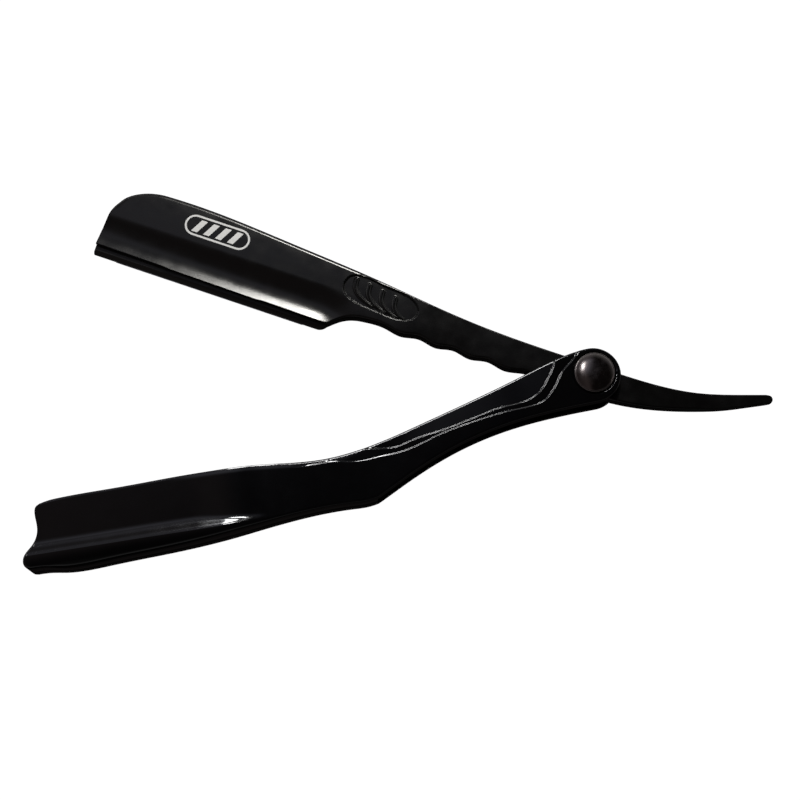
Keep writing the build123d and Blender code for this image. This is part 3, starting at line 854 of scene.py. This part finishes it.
def build_floor():
    """White floor that is dim as a surrounding, so that the black sides stay black."""
    points = [(-3, -3, 0), (3, -3, 0), (3, 3, 0), (-3, 3, 0)]
    mesh = bpy.data.meshes.new("floor")
    mesh.from_pydata(points, [], [(0, 1, 2, 3)])
    floor = bpy.data.objects.new("floor", mesh)
    bpy.context.scene.collection.objects.link(floor)
    material, tree, shader = new_material("floor_white", (0.5, 0.5, 0.5), 0.9)
    shader.inputs["Specular IOR Level"].default_value = 0.0
    shader.inputs["Emission Color"].default_value = (1, 1, 1, 1)
    shader.inputs["Emission Strength"].default_value = 1.0
    dim = tree.nodes.new("ShaderNodeEmission")
    dim.inputs["Color"].default_value = (0.007, 0.006, 0.006, 1)
    seen = tree.nodes.new("ShaderNodeLightPath")
    choice = tree.nodes.new("ShaderNodeMixShader")
    tree.links.new(seen.outputs["Is Camera Ray"], choice.inputs["Fac"])
    tree.links.new(dim.outputs["Emission"], choice.inputs[1])
    tree.links.new(shader.outputs["BSDF"], choice.inputs[2])
    tree.links.new(choice.outputs["Shader"], tree.nodes["Material Output"].inputs["Surface"])
    floor.data.materials.append(material)


def softbox(name, place, size, strength, lit, colour=(1, 1, 1)):
    """Rectangular soft light at a place on the bench, for the pieces lit; strength is its radiance."""
    data = bpy.data.lights.new(name, "AREA")
    data.shape = "RECTANGLE"
    data.size, data.size_y = size[0] * MM, size[1] * MM
    data.energy = strength * pi * data.size * data.size_y
    data.color = colour
    lamp = bpy.data.objects.new(name, data)
    bpy.context.scene.collection.objects.link(lamp)
    look(lamp, bench(*place), bench(place[0], 0, 5))
    lamp.light_linking.receiver_collection = lit


def lit_group(name, pieces):
    """Collection of the pieces that a light falls on."""
    group = bpy.data.collections.new(name)
    for piece in pieces:
        group.objects.link(piece)
    return group


def ramp(tree, value, stops):
    """Colours along a value, through stops of place and colour or grey level."""
    node = tree.nodes.new("ShaderNodeValToRGB")
    elements = node.color_ramp.elements
    for place, level in stops[1:-1]:
        elements.new(place)
    for element, (place, level) in zip(elements, stops):
        element.position = place
        element.color = (level, level, level, 1)
    tree.links.new(value, node.inputs["Fac"])
    return node.outputs["Color"]


def mixed(tree, kind, first, second):
    """Sum or product of two colours; the second may be a constant."""
    node = tree.nodes.new("ShaderNodeMix")
    node.data_type = "RGBA"
    node.blend_type = kind
    node.inputs["Factor"].default_value = 1.0
    tree.links.new(first, node.inputs["A"])
    if isinstance(second, tuple):
        node.inputs["B"].default_value = (*second, 1)
    else:
        tree.links.new(second, node.inputs["B"])
    return node.outputs["Result"]


def build_world():
    """Dark room round the bench: a dim window glow behind the razor, a warm wall to its left, a bright
    horizon far behind."""
    world = bpy.data.worlds.new("room")
    bpy.context.scene.world = world
    world.use_nodes = True
    tree = world.node_tree
    background = tree.nodes["Background"]
    place = tree.nodes.new("ShaderNodeTexCoord")
    turn = tree.nodes.new("ShaderNodeMapping")
    turn.vector_type = "POINT"
    turn.inputs["Rotation"].default_value = (0, 0, -VIEW_TURN)
    split = tree.nodes.new("ShaderNodeSeparateXYZ")
    tree.links.new(place.outputs["Generated"], turn.inputs["Vector"])
    tree.links.new(turn.outputs["Vector"], split.inputs["Vector"])
    # Half of each coordinate plus a half, so that a ramp covers all directions
    axes = {}
    for axis in "XYZ":
        node = tree.nodes.new("ShaderNodeMapRange")
        node.inputs["From Min"].default_value = -1
        node.inputs["From Max"].default_value = 1
        tree.links.new(split.outputs[axis], node.inputs["Value"])
        axes[axis] = node.outputs["Result"]
    glow_deep = [(0.575, 0.0), (0.595, 0.03), (0.605, 0.08), (0.615, 0.16), (0.635, 0.36), (0.65, 0.34)]
    glow_deep += [(0.69, 0.16), (0.75, 0.24), (0.8, 0.22), (0.85, 0.04), (0.95, 0.03)]
    glow_across = [(0.25, 0.15), (0.31, 0.35), (0.345, 0.58), (0.4, 1.0), (0.485, 1.0)]
    glow_across += [(0.508, 0.36), (0.5165, 0.24), (0.5255, 0.07), (0.56, 0.0)]
    glow = mixed(tree, "MULTIPLY", ramp(tree, axes["Y"], glow_deep), ramp(tree, axes["X"], glow_across))
    glow = mixed(tree, "MULTIPLY", glow, (0.92, 0.95, 1.13))
    wall_across = [(0.25, 0.03), (0.42, 0.065), (0.45, 0.035), (0.465, 0.02), (0.485, 0.004), (0.5, 0.0)]
    wall = ramp(tree, axes["X"], wall_across)
    wall = mixed(tree, "MULTIPLY", wall, (1.15, 0.95, 0.95))
    above = mixed(tree, "ADD", glow, wall)
    above = mixed(tree, "ADD", above, (0.008, 0.0065, 0.006))
    low = ramp(tree, axes["Z"], [(0.55, 1.0), (0.72, 0.25), (0.85, 0.0)])
    behind = ramp(tree, axes["Y"], [(0.3, 0.2), (0.55, 0.5), (0.8, 1.0)])
    total = mixed(tree, "ADD", above, mixed(tree, "MULTIPLY", low, behind))
    tree.links.new(total, background.inputs["Color"])
    background.inputs["Strength"].default_value = 1.0


build_floor()
build_world()
arm_lit = lit_group("arm_lit", [arm, carrier, nodes["razor_blade"]] + marks + steel)
mark_lit = lit_group("mark_lit", marks)
handle_lit = lit_group("handle_lit", [front_scale, back_scale])
rivet_lit = lit_group("rivet_lit", [rivet_front, rivet_back])
softbox("key", (0, 345, 440), (86, 110), 52.0, arm_lit, (1.0, 0.98, 0.93))
softbox("mark_fill", (-60, -420, 380), (200, 150), 18.0, mark_lit)
softbox("window", (-133, 365, 440), (62, 130), 28.0, handle_lit)
softbox("window_side", (-170, 365, 440), (12, 130), 2.5, handle_lit, (0.9, 0.95, 1.0))
softbox("step_window", (-78, 335, 440), (50, 70), 40.0, handle_lit)
softbox("left_window", (-335, 215, 440), (140, 110), 5.0, handle_lit)
softbox("crease_window", (-105, 178, 440), (46, 40), 45.0, handle_lit)
softbox("rivet_window", (-155, 205, 440), (70, 120), 12.0, rivet_lit)
bpy.context.scene.view_settings.view_transform = "Standard"
